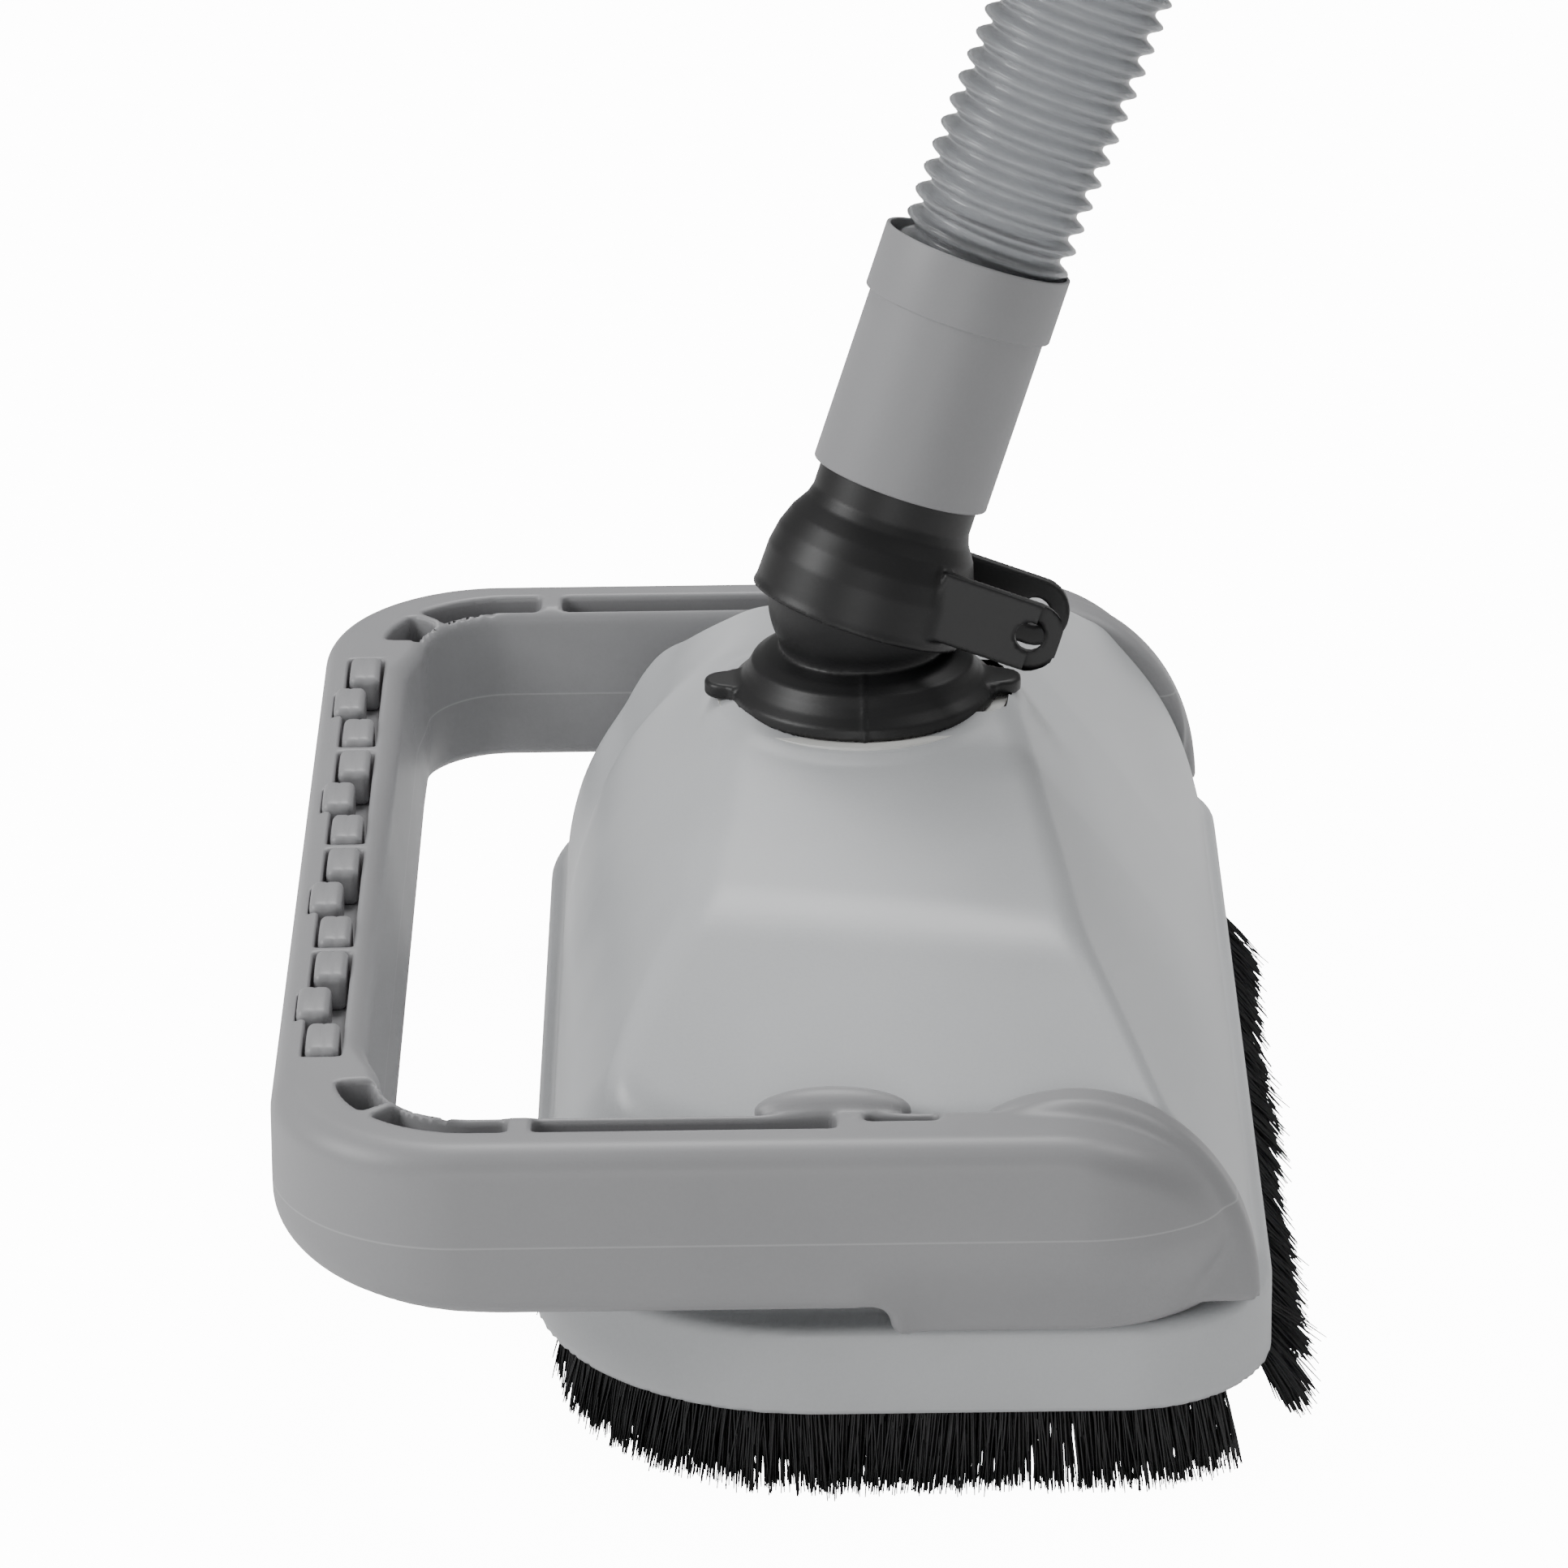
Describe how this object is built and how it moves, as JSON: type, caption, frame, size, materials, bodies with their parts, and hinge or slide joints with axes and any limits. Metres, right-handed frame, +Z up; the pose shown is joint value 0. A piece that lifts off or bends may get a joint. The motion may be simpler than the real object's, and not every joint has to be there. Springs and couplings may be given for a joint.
{
  "type": "pool cleaner",
  "caption": "Suction pool cleaner head with hipped housing, U shaped bumper, perimeter brushes and a leaning hose on a ball swivel.",
  "frame": {"origin": "middle of the box of the head, at the height of the bristle tips", "axes": "+Z up, -X towards the grip bar, +X towards the rear brush, +Y along the width of the head"},
  "size_m": [0.3068, 0.4, 0.555],
  "materials": {
    "housing_grey": "fine matte texture",
    "bumper_grey": "satin",
    "cuff_grey": "matte",
    "swivel_black": "satin",
    "dark_plastic": "matte",
    "bristle": "nylon filament",
    "washer_white": "nylon",
    "seal_rubber": "soft",
    "hose_clear": "translucent",
    "steel": "stainless",
    "flap_red": "moulded",
    "foam": "closed cell foam"
  },
  "bodies": {
    "head": {"top_housing": "housing_grey", "base_plate": "dark_plastic", "base_screws": "steel", "bumper": "bumper_grey", "bar_cover": "bumper_grey", "bumper_screws": "steel", "chamber_near": "dark_plastic", "chamber_far": "dark_plastic", "chamber_screws": "steel", "oscillator_pin": "steel", "pin_caps": "dark_plastic", "outlet_seal": "seal_rubber", "float_block": "foam", "ballast_weight": "steel", "side_brush_holder": "dark_plastic", "side_bristles": "bristle", "rear_brush_holder": "dark_plastic", "rear_bristles": "bristle", "intake_rim": "seal_rubber", "swivel_washer": "washer_white"},
    "flapper": {"oscillator": "flap_red"},
    "swivel": {"swivel_base": "swivel_black", "swivel_nut": "swivel_black"},
    "cup": {"ball_cup": "swivel_black"},
    "hose_end": {"hose_cuff": "cuff_grey", "cuff_seal": "seal_rubber", "hose": "hose_clear", "hose_end_cuff": "cuff_grey"}
  },
  "joints": [
    {"name": "base_swivel", "type": "hinge", "parent": "head", "child": "swivel", "pos_m": [0.0195, 0, 0.146], "axis": [0, 0, 1], "continuous": true},
    {"name": "ball_tilt", "type": "hinge", "parent": "swivel", "child": "cup", "pos_m": [0.0195, 0, 0.174], "axis": [-0.4274, 0.9041, 0], "range_deg": [-42.2, 0]},
    {"name": "cuff_swivel", "type": "hinge", "parent": "cup", "child": "hose_end", "pos_m": [0.0195, 0, 0.174], "axis": [0.3255, 0.1538, 0.933], "continuous": true},
    {"name": "oscillator_swing", "type": "hinge", "parent": "head", "child": "flapper", "pos_m": [0.0195, 0, 0.076], "axis": [0, 1, 0], "range_deg": [-30, 30]}
  ]
}
